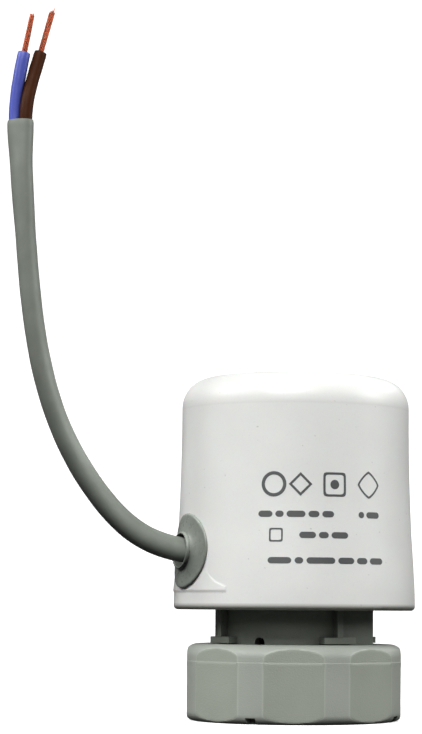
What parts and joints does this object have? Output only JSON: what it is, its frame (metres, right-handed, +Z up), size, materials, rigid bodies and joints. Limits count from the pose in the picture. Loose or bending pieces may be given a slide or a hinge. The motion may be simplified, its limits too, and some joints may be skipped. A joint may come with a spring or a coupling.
{
  "type": "electrothermal valve actuator",
  "caption": "Bell-shaped electrothermal valve actuator with a threaded union nut, spring-loaded plunger and two-core cable.",
  "frame": {"origin": "centre of the valve thread at the union nut's lower face", "axes": "+Z up along the valve stem, away from the valve; the cable leaves towards -X and -Y"},
  "size_m": [0.075, 0.0497, 0.1295],
  "materials": {
    "nut_plastic": "fine-textured grey moulded polyamide",
    "base_plastic": "satin grey moulded polyamide",
    "hood_plastic": "satin off-white moulded plastic",
    "seal_rubber": "matt black",
    "screw_steel": "zinc plated",
    "carrier_plastic": "glass-filled dark grey",
    "element_brass": "turned brass",
    "piston_steel": "ground steel",
    "heater_ceramic": "silvered ceramic disc",
    "contact_brass": "tinned brass strip",
    "spring_steel": "drawn spring wire",
    "grommet_rubber": "satin grey",
    "cable_jacket": "satin grey PVC",
    "blue_insulation": "blue PVC",
    "brown_insulation": "brown PVC",
    "copper": "bare copper strands"
  },
  "bodies": {
    "base": {"base_body": "base_plastic", "hood": "hood_plastic", "hood_seal": "seal_rubber", "hood_screws": "screw_steel", "carrier_screws": "screw_steel", "element_carrier": "carrier_plastic", "wax_element": "element_brass", "element_guide": "element_brass", "ptc_heater": "heater_ceramic", "neutral_contact": "contact_brass", "live_contact": "contact_brass", "plunger_seal": "seal_rubber", "main_spring": "spring_steel", "spring_seat": "spring_steel", "cable_grommet": "grommet_rubber", "cable_sheath": "cable_jacket", "blue_core": "blue_insulation", "brown_core": "brown_insulation", "blue_strands": "copper", "brown_strands": "copper", "cable_clamp": "carrier_plastic", "clamp_screws": "screw_steel"},
    "nut": {"union_nut": "nut_plastic"},
    "lift": {"lift_cage": "carrier_plastic", "plunger": "base_plastic"},
    "piston": {"element_piston": "piston_steel"}
  },
  "joints": [
    {"name": "nut_spin", "type": "hinge", "parent": "base", "child": "nut", "pos_m": [0, 0, 0.0075], "axis": [0, 0, 1], "continuous": true},
    {"name": "plunger_lift", "type": "slide", "parent": "base", "child": "lift", "axis": [0, 0, 1], "range_m": [0, 0.004], "deforming": ["main_spring"]},
    {"name": "piston_extend", "type": "slide", "parent": "base", "child": "piston", "axis": [0, 0, 1], "range_m": [0, 0.004]}
  ],
  "couplings": [
    {"joint": "piston_extend", "follows": "plunger_lift", "ratio": 1}
  ]
}
